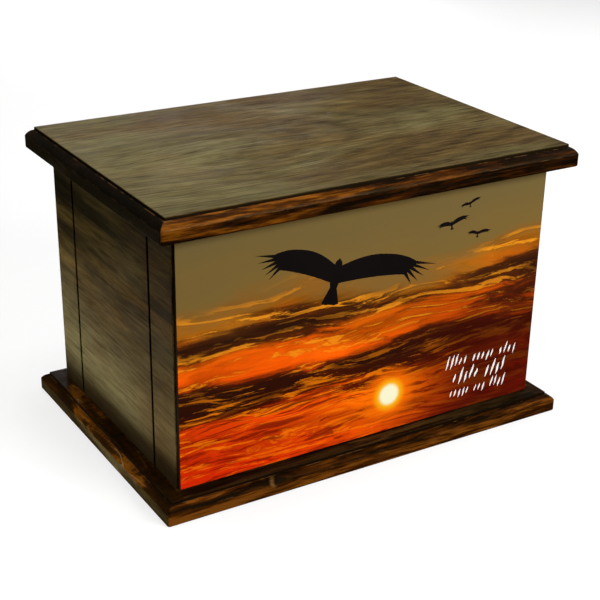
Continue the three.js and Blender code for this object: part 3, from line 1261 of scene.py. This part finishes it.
@dataclass(frozen=True)
class MouldedBoard:
    """The base or the lid: a board with the same moulding on its four edges."""

    name: str
    node: str
    low: Vector
    high: Vector
    moulding: Moulding
    sweep: MouldingSweep
    material: bpy.types.Material
    field: LocatingField | None = None
    corner_steps: int = 6
    side_steps: int = 56
    unevenness: float = 0.12 * MM

    @property
    def size(self) -> Vector:
        """Returns the board's width, depth and thickness without the field."""
        return self.high - self.low

    def section(self) -> list[SectionPoint]:
        """Draws the whole section.

        Returns:
            The points, from the middle of the underside to the middle of the top face.
        """
        rim = list(self.moulding.section(self.size.z))
        top_middle = self._ridge(rim[-1])
        if self.field is None:
            return [self._ridge(rim[0]), *rim, top_middle]
        side = (self.size.x - self.field.width) / 2
        end = (self.size.y - self.field.depth) / 2
        face = SectionPoint(side, end, -self.field.height, self.field.shift)
        root = face._replace(height=0.0)
        return [self._ridge(face), face, root, *rim, top_middle]

    def _ridge(self, point: SectionPoint) -> SectionPoint:
        """Returns the middle line of the flat face that the point is on the rim of."""
        to_middle = self.size.y / 2 - point.end
        return SectionPoint(point.side + to_middle, self.size.y / 2, point.height, point.shift)

    def build(self) -> bpy.types.Object:
        """Sweeps the section round the board and hands the piece over.

        Returns:
            The finished piece.
        """
        section = self.section()
        chain = bpy.data.meshes.new(self.name)
        points = [(point.side, point.end, self.low.z + point.height) for point in section]
        chain.from_pydata(points, [(number, number + 1) for number in range(len(points) - 1)], [])
        for name in (MouldingSweep.SHIFT, *(mark.value for mark in MouldingSweep.CARRIED)):
            values = [getattr(point, name) for point in section]
            chain.attributes.new(name, "FLOAT", "POINT").data.foreach_set("value", values)
        piece = new_object(self.name, chain)
        modifier = piece.modifiers.new("moulding", "NODES")
        modifier.node_group = self.sweep.tree
        identifiers = self.sweep.identifiers()
        for name, value in self._sizes().items():
            modifier[identifiers[name]] = value
        evaluated = piece.evaluated_get(bpy.context.evaluated_depsgraph_get())
        mesh = bpy.data.meshes.new_from_object(evaluated)
        piece.modifiers.clear()
        piece.data = mesh
        mesh.set_sharp_from_angle(angle=SHARP_ANGLE)
        hand_over(piece, self.node, Slot.MOULDED)
        return piece

    def _sizes(self) -> dict[str, float | int | bpy.types.Material]:
        """Gathers the values of the sweep's inputs for this board.

        Returns:
            The values by the inputs' names.
        """
        return {
            "Width": self.size.x,
            "Depth": self.size.y,
            "Corner Radius": self.moulding.corner_radius,
            "Inner Radius": self.moulding.inner_corner_radius,
            "Step Inset": self.moulding.step_inset,
            "Corner Steps": self.corner_steps,
            "Side Steps": self.side_steps,
            "Unevenness": self.unevenness,
            "Material": self.material,
        }


class PlanPoint(NamedTuple):
    """One point of a wall's plan, along its outer face and in from it."""

    along: float
    depth: float
    arris: float = 0.0
    kerf: float = 0.0


@dataclass(frozen=True)
class Kerf:
    """Size of an upright groove with eased lips."""

    width: float = 2.25 * MM
    depth: float = 2.5 * MM
    lip: float = 0.3 * MM


@dataclass(frozen=True)
class MitredWall:
    """One upright wall of the box, mitred at its ends, with grooves sawn down its outer face.

    The foot shade gives heights over the base, each with the share of painted shade that the wall takes
    there, darkest at the wall's foot.
    """

    name: str
    node: str
    length: float
    thickness: float
    height: float
    foot: Vector
    turn: float
    material: bpy.types.Material
    grooves: tuple[float, ...] = ()
    kerf: Kerf = Kerf()
    corner_radius: float = 0.8 * MM
    support: float = 0.3 * MM
    arc_steps: int = 4
    foot_stain: tuple[tuple[float, float], ...] = (
        (0.0, 0.97), (6 * MM, 0.94), (11 * MM, 0.78), (17 * MM, 0.42), (24 * MM, 0.16), (34 * MM, 0.0))

    def plan(self) -> list[PlanPoint]:
        """Draws the wall's plan.

        Returns:
            The points, once round from the left end of its outer face.
        """
        half = self.length / 2
        radius = self.corner_radius
        left = []
        for step in range(self.arc_steps + 1):
            angle = QUARTER_TURN / 2 * (1 - step / self.arc_steps)
            along = -half + radius * (1 - math.sin(angle))
            left.append(PlanPoint(along, radius * (1 - math.cos(angle)), 1.0))
        left.append(PlanPoint(-half + radius + self.support, 0.0))
        kerfs = [point for middle in self.grooves for point in self._kerf_points(middle)]
        inner = half - self.thickness
        back = [PlanPoint(inner, self.thickness), PlanPoint(-inner, self.thickness)]
        return [*left, *kerfs, *self._mirrored(left), *back]

    @staticmethod
    def _mirrored(points: Sequence[PlanPoint]) -> list[PlanPoint]:
        """Returns the points on the other side of the middle, so that the way round goes on."""
        return [point._replace(along=-point.along) for point in reversed(points)]

    def _kerf_points(self, middle: float) -> list[PlanPoint]:
        """Draws the plan of one groove.

        Args:
            middle: The place of its middle along the wall.

        Returns:
            The points, from its left lip to its right one.
        """
        lip = self.kerf.lip
        edge = self.kerf.width / 2
        half = [PlanPoint(-edge - lip - self.support, 0.0)]
        for step in range(self.arc_steps + 1):
            sunk = step / self.arc_steps
            angle = QUARTER_TURN * sunk
            along = -edge - lip * (1 - math.sin(angle))
            # The lips get wear with painted glints, the groove's walls painted shade.
            half.append(PlanPoint(along, lip * (1 - math.cos(angle)), 1 - sunk, sunk))
        half.append(PlanPoint(-edge, self.kerf.depth, 0.0, 1.0))
        return [point._replace(along=point.along + middle) for point in (*half, *self._mirrored(half))]

    def build(self) -> bpy.types.Object:
        """Raises the plan to the wall's height and hands the piece over.

        Returns:
            The finished piece.
        """
        plan = self.plan()
        shape = bmesh.new()
        arris, kerf, crease = (shape.verts.layers.float.new(mark.value)
                               for mark in (Mark.ARRIS, Mark.KERF, Mark.CREASE))
        place = Matrix.Translation(self.foot) @ Matrix.Rotation(self.turn, 4, "Z")
        rings = []
        # Each ring carries the share of painted shade at its height, which darkens the wall's foot where it
        # meets the base.
        for height, stain in (*self.foot_stain, (self.height, 0.0)):
            ring = [shape.verts.new(place @ Vector((point.along, point.depth, height))) for point in plan]
            for vertex, point in zip(ring, plan):
                vertex[arris] = point.arris
                vertex[kerf] = point.kerf
                vertex[crease] = stain
            rings.append(ring)
        skin(shape, rings)
        caps = [shape.faces.new(list(reversed(rings[0]))), shape.faces.new(rings[-1])]
        bmesh.ops.triangulate(shape, faces=caps)
        for face in shape.faces:
            face.smooth = True
        piece = new_solid(self.name, shape, self.material)
        piece.data.set_sharp_from_angle(angle=SHARP_ANGLE)
        hand_over(piece, self.node, Slot.WALL)
        return piece


def bend(start: Vector, control: Vector, stop: Vector, steps: int) -> Outline:
    """Returns points along a quadratic curve, its two ends among them."""
    shares = [step / steps for step in range(steps + 1)]
    return [start * (1 - t) ** 2 + control * 2 * t * (1 - t) + stop * t ** 2 for t in shares]


@dataclass(frozen=True)
class SoaringBird:
    """Silhouette of a broad-winged bird on the wind. Its own outline is drawn on a half span of 1."""

    middle: Vector
    half_span: float
    tilt: float
    far_wing: float = 0.8
    feathers: int = 5
    curve_steps: int = 8

    # Right half of the body between the beak and the end of the tail
    BODY_SIDE = ((0.03, 0.125), (0.05, 0.06), (0.052, -0.02), (0.034, -0.1), (0.085, -0.235), (0.045, -0.25))
    BEAK = (0.0, 0.155)
    TAIL = (0.0, -0.245)

    # Tip feathers, from the first one to the last
    FIRST_ANGLE = 2
    ANGLE_SPREAD = -50
    FIRST_LENGTH = 0.24
    LENGTH_SPREAD = -0.1
    TIP_PLACE = 0.4
    NOTCH_PLACE = 0.95

    def outlines(self) -> list[Outline]:
        """Draws the bird.

        Returns:
            The two wings and the body, in their place on the picture.
        """
        wing = self._wing()
        far = [Vector((-point.x * self.far_wing, point.y)) for point in reversed(wing)]
        turn = Matrix.Rotation(self.tilt, 2)
        return [[self.middle + turn @ point * self.half_span for point in outline]
                for outline in (wing, far, self._body())]

    def _wing(self) -> Outline:
        """Draws one wing.

        Returns:
            Its outline, from the armpit out along its rear edge, round the tip feathers and back.
        """
        shoulder = Vector((-0.01, 0.07))
        arm_bow = Vector((0.24, 0.21))
        wrist = Vector((0.45, 0.21))
        hand_bow = Vector((0.64, 0.22))
        hand = Vector((0.78, 0.16))
        heel = Vector((0.66, 0.035))
        rear_bow = Vector((0.36, 0.02))
        armpit = Vector((-0.01, -0.07))
        notch = Vector((0.025, -0.004))
        outline = bend(shoulder, arm_bow, wrist, self.curve_steps)
        outline += bend(wrist, hand_bow, hand, self.curve_steps)[1:]
        for number in range(self.feathers):
            share = (number + self.TIP_PLACE) / self.feathers
            angle = math.radians(self.FIRST_ANGLE + self.ANGLE_SPREAD * share)
            length = self.FIRST_LENGTH + self.LENGTH_SPREAD * share
            outline.append(hand.lerp(heel, share) + Vector((math.cos(angle), math.sin(angle))) * length)
            outline.append(hand.lerp(heel, (number + self.NOTCH_PLACE) / self.feathers) + notch)
        outline += bend(heel, rear_bow, armpit, self.curve_steps)
        return list(reversed(outline))

    def _body(self) -> Outline:
        """Draws the body with its spread tail.

        Returns:
            Its outline.
        """
        left = [(-x, y) for x, y in reversed(self.BODY_SIDE)]
        points = [self.BEAK, *self.BODY_SIDE, self.TAIL, *left]
        return [Vector(point) for point in reversed(points)]


@dataclass(frozen=True)
class StrokeRow:
    """A row of slanted pen strokes that are no letters, in groups as words are.

    The values from pitch to curls are shares of the row's height, tip and swell are shares of the breadth.
    """

    left: float
    right: float
    baseline: float
    height: float
    groups: int
    seed: int
    slant: float = 0.3
    pitch: float = 0.46
    rises: tuple[float, ...] = (0.6, 0.6, 0.66, 1.0)
    dips: tuple[float, ...] = (0.0, 0.0, 0.0, 0.22)
    breadths: tuple[float, float] = (0.15, 0.2)
    curls: tuple[float, float] = (-0.04, 0.04)
    tip: float = 0.12
    swell: float = 0.38
    outline_steps: int = 5

    def outlines(self) -> list[Outline]:
        """Draws the strokes.

        Returns:
            One slim outline for each stroke of the row.
        """
        draw = random.Random(self.seed)
        pitch = self.height * self.pitch
        count = int((self.right - self.left) / pitch)
        gaps = {round(count * number / self.groups) for number in range(1, self.groups)}
        strokes = []
        for number in range(count):
            tall = draw.choice(self.rises)
            dip = draw.choice(self.dips)
            breadth = self.height * draw.uniform(*self.breadths)
            curl = self.height * draw.uniform(*self.curls)
            if number not in gaps:
                foot = Vector((self.left + pitch * (number + 0.5), self.baseline - dip * self.height))
                strokes.append(self._stroke(foot, (tall + dip) * self.height, breadth, curl))
        return strokes

    def _stroke(self, foot: Vector, rise: float, breadth: float, curl: float) -> Outline:
        """Draws one stroke that swells in its middle.

        Args:
            foot: Its lower end.
            rise: Its height.
            breadth: Its width in the middle.
            curl: How far it bows to the side.

        Returns:
            Its outline.
        """
        sides = ([], [])
        for step in range(self.outline_steps + 1):
            share = step / self.outline_steps
            across = rise * share * self.slant + curl * math.sin(2 * math.pi * share)
            middle = foot + Vector((across, rise * share))
            half = Vector((breadth * (self.tip + self.swell * math.sin(math.pi * share)), 0.0))
            sides[0].append(middle + half)
            sides[1].append(middle - half)
        return [*sides[0], *reversed(sides[1])]


class BirdPlace(NamedTuple):
    """A bird's place in shares of the picture, its size against the largest, and its tilt in degrees."""

    across: float
    up: float
    scale: float
    tilt: float
    feathers: int = 3


class RowPlace(NamedTuple):
    """Where a row of strokes is, in shares of the picture, its scale, and its groups of strokes."""

    left: float
    right: float
    up: float
    scale: float
    groups: int


@dataclass(frozen=True)
class PicturePanel:
    """Thin printed plate over the front, with broken arrises. Its birds and strokes are flush with it."""

    name: str
    node: str
    low: Vector
    high: Vector
    material: bpy.types.Material
    ease: float = 0.25 * MM
    bird_span: float = 0.56
    row_height: float = 0.05
    weld: float = 1e-7

    CORNERS = 4
    CUT_TO_TRIANGLES = 0
    BIRDS = (
        BirdPlace(0.4, 0.72, 1.0, -13, 5),
        BirdPlace(0.72, 0.83, 0.2, 8),
        BirdPlace(0.8, 0.77, 0.15, -4),
        BirdPlace(0.77, 0.9, 0.13, 14),
    )
    ROWS = (
        RowPlace(0.725, 0.955, 0.207, 1.0, 3),
        RowPlace(0.75, 0.93, 0.132, 1.2, 2),
        RowPlace(0.745, 0.925, 0.066, 0.9, 3),
    )

    @property
    def size(self) -> Vector:
        """Returns the plate's width, thickness and height."""
        return self.high - self.low

    def _at(self, across: float, up: float) -> Vector:
        """Returns the place at these shares of the picture's width and height."""
        return Vector((self.low.x + self.size.x * across, self.low.z + self.size.z * up))

    def _corners(self, inset: float) -> list[tuple[float, float]]:
        """Places the plate's corners as seen from the front.

        Args:
            inset: How far in they lie.

        Returns:
            The four corners, once round from the lower left one.
        """
        left, right = self.low.x + inset, self.high.x - inset
        bottom, top = self.low.z + inset, self.high.z - inset
        return [(left, bottom), (right, bottom), (right, top), (left, top)]

    def silhouettes(self) -> list[Outline]:
        """Draws the birds.

        Returns:
            Their outlines.
        """
        half = self.size.x * self.bird_span / 2
        birds = [SoaringBird(self._at(bird.across, bird.up), half * bird.scale, math.radians(bird.tilt),
                             feathers=bird.feathers) for bird in self.BIRDS]
        return [outline for bird in birds for outline in bird.outlines()]

    def strokes(self) -> list[Outline]:
        """Draws the rows of white strokes.

        Returns:
            Their outlines.
        """
        outlines = []
        for seed, row in enumerate(self.ROWS):
            start = self._at(row.left, row.up)
            stop = self._at(row.right, row.up)
            height = self.size.z * self.row_height * row.scale
            outlines += StrokeRow(start.x, stop.x, start.y, height, row.groups, seed).outlines()
        return outlines

    def _front(self) -> tuple[list[Vector], list[list[int]], list[set[int]], range, range]:
        """Cuts the picture's face along the outlines.

        Returns:
            The points, the faces, which outlines each face lies in, and the numbers of the birds' outlines
            and of the strokes' outlines. Outline 0 is the face itself.
        """
        birds = self.silhouettes()
        strokes = self.strokes()
        rim = [Vector(corner) for corner in self._corners(self.ease)]
        points, faces = [], []
        for outline in (rim, *birds, *strokes):
            faces.append(list(range(len(points), len(points) + len(outline))))
            points += outline
        cut = delaunay_2d_cdt(points, [], faces, self.CUT_TO_TRIANGLES, self.weld)
        cut_points, _, cut_faces, _, _, outlines = cut
        inside = [set(numbers) for numbers in outlines]
        first_stroke = 1 + len(birds)
        return cut_points, cut_faces, inside, range(1, first_stroke), range(first_stroke, len(faces))

    def build(self) -> bpy.types.Object:
        """Builds the plate with its printed face and hands the piece over.

        Returns:
            The finished piece.
        """
        shape = bmesh.new()
        layers = {ink: shape.faces.layers.float.new(ink.value) for ink in Ink}
        points, faces, inside, bird_numbers, stroke_numbers = self._front()
        verts = [shape.verts.new((point.x, self.low.y, point.y)) for point in points]
        for corners, outlines in zip(faces, inside):
            face = shape.faces.new([verts[number] for number in corners])
            face[layers[Ink.SILHOUETTE]] = float(not outlines.isdisjoint(bird_numbers))
            face[layers[Ink.WHITE]] = float(not outlines.isdisjoint(stroke_numbers))
        rings = [verts[:self.CORNERS]]
        for depth, inset in ((self.ease, 0.0), (self.size.y - self.ease, 0.0), (self.size.y, self.ease)):
            rings.append([shape.verts.new((x, self.low.y + depth, z)) for x, z in self._corners(inset)])
        back = shape.faces.new(rings[-1][::-1])
        for face in (back, *skin(shape, rings[::-1])):
            face[layers[Ink.EDGE]] = 1.0
        bmesh.ops.recalc_face_normals(shape, faces=shape.faces)
        piece = new_solid(self.name, shape, self.material)
        hand_over(piece, self.node, Slot.PRINT)
        return piece


@dataclass(frozen=True)
class SoftBox:
    """A rectangular studio light, with its spread in degrees."""

    name: str
    place: Triple
    aim: Triple
    size: tuple[float, float]
    power: float
    colour: Triple = (1.0, 1.0, 1.0)
    spread: float = 180.0

    def build(self) -> None:
        """Sets the light up."""
        light = bpy.data.lights.new(self.name, "AREA")
        light.shape = "RECTANGLE"
        light.size, light.size_y = self.size
        light.energy = self.power
        light.color = self.colour
        light.spread = math.radians(self.spread)
        stand = new_object(self.name, light)
        stand.location = self.place
        stand.rotation_euler = (Vector(self.aim) - Vector(self.place)).to_track_quat("-Z", "Y").to_euler()
        stand.visible_camera = False


@dataclass(frozen=True)
class PhotoCamera:
    """Camera at the photograph's viewing angle."""

    place: Triple = (-0.392724, -0.646234, 0.402725)
    azimuth: float = math.radians(-31.866)
    elevation: float = math.radians(25.217)
    roll: float = math.radians(1.182)
    focal_pixels: float = 1316.832
    axis_pixels: tuple[float, float] = (308.319, 334.02)
    image_pixels: float = 600.0
    sensor_mm: float = 36.0
    clip_start: float = 10 * MM

    def build(self) -> None:
        """Sets the camera up and makes it the scene's own."""
        data = bpy.data.cameras.new("photo_camera")
        data.sensor_width = self.sensor_mm
        data.lens = self.focal_pixels / self.image_pixels * self.sensor_mm
        data.shift_x = 0.5 - self.axis_pixels[0] / self.image_pixels
        data.shift_y = self.axis_pixels[1] / self.image_pixels - 0.5
        data.clip_start = self.clip_start
        camera = new_object("photo_camera", data)
        level = math.cos(self.elevation)
        ahead = Vector((math.sin(self.azimuth), -math.cos(self.azimuth), 0.0)) * level
        back = ahead + Vector((0.0, 0.0, math.sin(self.elevation)))
        right = Vector((0.0, 0.0, 1.0)).cross(back).normalized()
        right = Matrix.Rotation(self.roll, 3, back) @ right
        turn = Matrix((right, back.cross(right), back)).transposed()
        camera.matrix_world = Matrix.Translation(self.place) @ turn.to_4x4()
        bpy.context.scene.camera = camera


@dataclass(frozen=True)
class Studio:
    """Pale floor, soft lights, and air that is darker below than above."""

    floor_reach: float = 20.0
    floor_glow: float = 0.7
    floor_tone: Colour = grey(0.3)
    floor_roughness: float = 0.9
    air_above: Colour = rgb(0.09, 0.088, 0.08)
    air_below: Colour = rgb(0.03, 0.028, 0.022)
    horizon: Fade = Fade(-0.15, 0.15)
    backdrop: Colour = grey(0.92)

    LIGHTS = (
        SoftBox("overhead", (-0.1, 0.0, 1.3), (0.0, 0.0, 0.1), (0.7, 0.7), 13.0),
        SoftBox("front_right", (0.55, -1.3, 0.75), (0.0, -0.08, 0.08), (0.8, 0.6), 26.0),
        SoftBox("left_sheen", (0.3, 1.0, 0.5), (-0.1, 0.06, 0.17), (0.35, 0.3), 0.06),
        SoftBox("right_sheen", (0.71, 0.73, 0.455), (0.1, 0.0, 0.17), (0.35, 0.3), 0.05),
        SoftBox("low_left", (-0.6, 0.05, 0.02), (-0.124, 0.02, 0.03), (0.6, 0.05), 0.2,
                (1.0, 0.92, 0.75), 25.0),
        SoftBox("floor_left", (-0.2, 0.12, 0.003), (-0.2, 0.12, 1.0), (0.1, 0.3), 0.04, (1.0, 0.88, 0.62)),
        SoftBox("right", (1.2, 0.3, 0.5), (0.12, 0.0, 0.08), (0.6, 0.6), 5.0),
        SoftBox("rear", (0.5, 1.3, 0.12), (0.0, 0.08, 0.08), (0.6, 0.2), 6.0),
    )

    def build(self) -> None:
        """Sets up the floor, the lights and the air."""
        self._floor()
        self._air()
        for light in self.LIGHTS:
            light.build()
        bpy.context.scene.view_settings.view_transform = "Standard"

    def _floor(self) -> None:
        """Lays the floor, which shows to the camera but throws no light back on the box."""
        reach = self.floor_reach
        mesh = bpy.data.meshes.new("floor")
        corners = [(-reach, -reach, 0.0), (reach, -reach, 0.0), (reach, reach, 0.0), (-reach, reach, 0.0)]
        mesh.from_pydata(corners, [], [(0, 1, 2, 3)])
        material, tree, shader = new_material("pale_floor")
        tree.feed(shader, {
            "Base Color": self.floor_tone,
            "Roughness": self.floor_roughness,
            "Specular IOR Level": 0.0,
            "Emission Color": grey(1.0),
            "Emission Strength": self.floor_glow,
        })
        mesh.materials.append(material)
        floor = new_object("floor", mesh)
        floor.visible_diffuse = False
        floor.visible_glossy = False
        floor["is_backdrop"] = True

    def _air(self) -> None:
        """Sets the world's light."""
        world = bpy.data.worlds.new("studio_air")
        world.use_nodes = True
        bpy.context.scene.world = world
        tree = Tree(world.node_tree)
        _, _, up = tree.split(tree.add("ShaderNodeTexCoord").outputs["Generated"])
        air = tree.mix(tree.fade(up, self.horizon), self.air_below, self.air_above)
        seen = tree.add("ShaderNodeLightPath").outputs["Is Camera Ray"]
        tree.feed(world.node_tree.nodes["Background"], {"Color": tree.mix(seen, air, self.backdrop)})


@dataclass(frozen=True)
class UrnBox:
    """The whole box: it takes the sizes of its pieces from the frame and builds them."""

    effects: SharedEffects
    groove_from_edge: float = 28.5 * MM
    field_clearance: float = 0.5 * MM

    def build(self) -> None:
        """Builds every piece in its place."""
        self._boards()
        self._walls()
        self._picture()

    def _boards(self) -> None:
        """Builds the base and the lid."""
        sweep = MouldingSweep()
        moulding = Moulding()
        sides = ("left_side", "right_side", "front", "back")
        left, right, front, back = (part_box(f"{side}_board") for side in sides)
        # The base's top face is stained near black, as painted shade on the ledge under the picture.
        base_finish = MouldedWalnutFinish(
            "base_walnut", self.effects, Grain.ALONG_X, UMBER_SHADED_FACE, RUSSET_SHADED_FACE, edge=RUSSET_EDGE,
            end_round=EMBER_END, end_from=right[1].x, figure=WILD, knot=FRONT_KNOT,
            darkening=Fade(-0.11, -0.04, 0.32), fascia_lift=0.34, round_drop=-0.04, scratches=0.6,
            smooth=0.5, rough=0.66, wear=0.34, specular=0.03)
        low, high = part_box("base_board")
        MouldedBoard("base", "base_board", low, high, moulding, sweep, base_finish.material()).build()

        lid_finish = MouldedWalnutFinish(
            "lid_walnut", self.effects, Grain.ALONG_X, OLIVE_FACE, BROWN_FACE, warm_side=(0.7, 1.5, 0.0),
            warming=Fade(0.44, 0.72), knot=LID_KNOT, darkening=Fade(-0.1, 0.08, 0.5), wear=0.36,
            specular=0.09)
        lid_low, lid_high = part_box("lid_board")
        underside = left[1].z
        inner_width = right[0].x - left[1].x
        inner_front, inner_back = front[1].y, back[0].y
        field = LocatingField(
            width=inner_width - 2 * self.field_clearance,
            depth=inner_back - inner_front - 2 * self.field_clearance,
            shift=(inner_front + inner_back) / 2,
            height=underside - lid_low.z)
        low = Vector((lid_low.x, lid_low.y, underside))
        lid_walnut = lid_finish.material()
        MouldedBoard("lid", "lid_board", low, lid_high, moulding, sweep, lid_walnut, field).build()

    def _walls(self) -> None:
        """Builds the four walls, each a quarter turn on from the last."""
        # The walls' smoky bands start at 6 cm, full from 12 cm, and are painted lighter on the whole in
        # place of light under the lid.
        side, plain = (
            WalnutFinish(name, self.effects, grain, OLIVE_WALL, BROWN_WALL, figure=STRAIGHT,
                         warm_side=(-1.3, 0.0, 0.0), warming=Fade(0.34, 0.6), smoky=Fade(0.06, 0.12),
                         wave=5 * MM, pore_shade=0.3, specular=0.12).material()
            for name, grain in (("side_walnut", Grain.ALONG_Y), ("plain_walnut", Grain.ALONG_X)))
        walls = (("front", plain), ("right_side", side), ("back", plain), ("left_side", side))
        for quarter, (name, material) in enumerate(walls):
            low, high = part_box(f"{name}_board")
            along, across = (1, 0) if material is side else (0, 1)
            foot = (low + high) / 2
            foot.z = low.z
            foot[across] = high[across] if name in ("right_side", "back") else low[across]
            length = high[along] - low[along]
            reach = length / 2 - self.groove_from_edge
            grooves = (-reach, reach) if material is side else ()
            MitredWall(name, f"{name}_board", length, high[across] - low[across], high.z - low.z, foot,
                       quarter * QUARTER_TURN, material, grooves).build()

    def _picture(self) -> None:
        """Builds the picture panel."""
        low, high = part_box("picture_panel")
        finish = SunsetPrint("sunset_print", low.x, low.z, high.z - low.z)
        PicturePanel("picture", "picture_panel", low, high, finish.material()).build()


def write_sizes() -> None:
    """Puts the boxes of the CAD model and of the visual model side by side; nothing is written."""
    boxes = {"cad": cad_bounds, "visual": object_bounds()}
    plain = {name: [list(corner) for corner in corners] for name, corners in boxes.items()}


def main() -> None:
    """Builds the box and its studio in order."""
    logging.basicConfig(level=logging.INFO, format="%(name)s: %(message)s")
    PhotoCamera().build()
    UrnBox(SharedEffects()).build()
    Studio().build()
    write_sizes()


if __name__ == "__main__":
    main()
